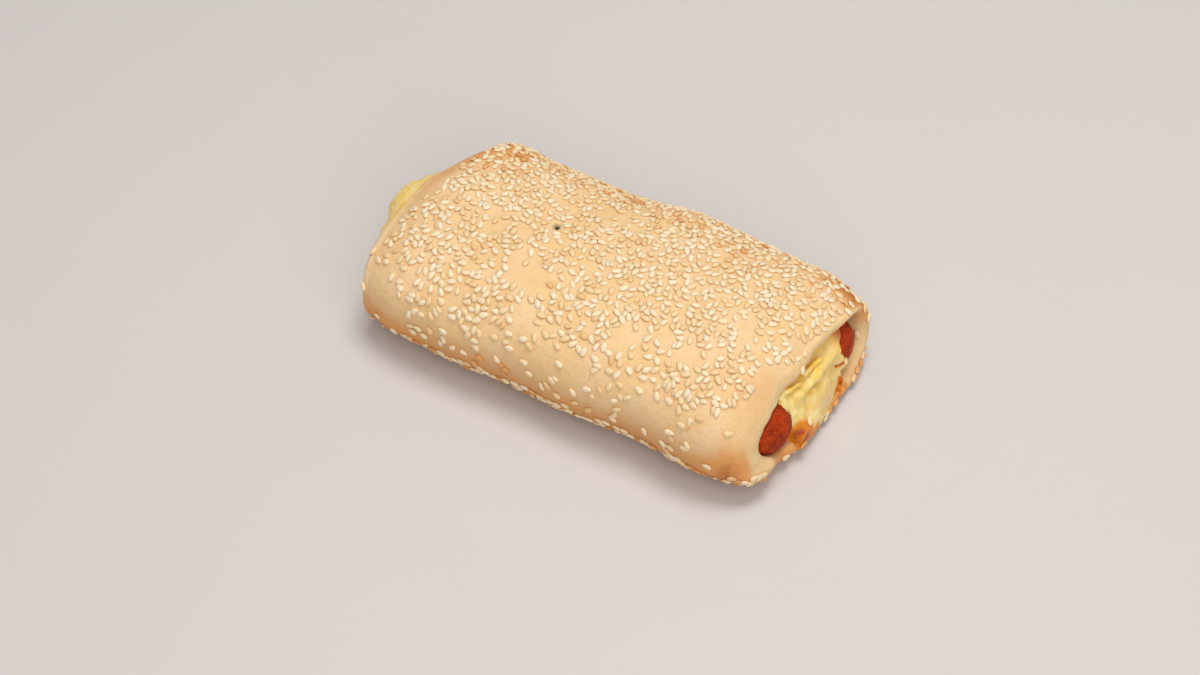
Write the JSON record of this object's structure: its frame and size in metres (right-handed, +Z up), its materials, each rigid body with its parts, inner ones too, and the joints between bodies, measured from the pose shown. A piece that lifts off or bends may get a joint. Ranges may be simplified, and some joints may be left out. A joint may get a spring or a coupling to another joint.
{
  "type": "sausage brioche",
  "caption": "Oblong baked dough roll sprinkled with sesame, open at both ends, round sausages and melted cheese that show in its mouths.",
  "frame": {"origin": "the middle of the bounding box at the height of the flat underside, where the roll meets the table", "axes": "+X along the roll towards the mouth where the sausages show most, +Y across it towards the side with the cut-back corner, +Z up"},
  "size_m": [0.1608, 0.0828, 0.0397],
  "materials": {
    "crust": "soft golden bread crust, matt with a faint sheen",
    "sausage_skin": "cooked reddish-brown skin, satin",
    "melted_cheese": "melted pale yellow cheese, satin, browned where it met the oven's heat",
    "sesame_seed": "hulled ivory seeds, some toasted"
  },
  "bodies": {
    "root": {"dough": "crust", "sausage_near": "sausage_skin", "sausage_far": "sausage_skin", "cheese": "melted_cheese"}
  },
  "joints": []
}
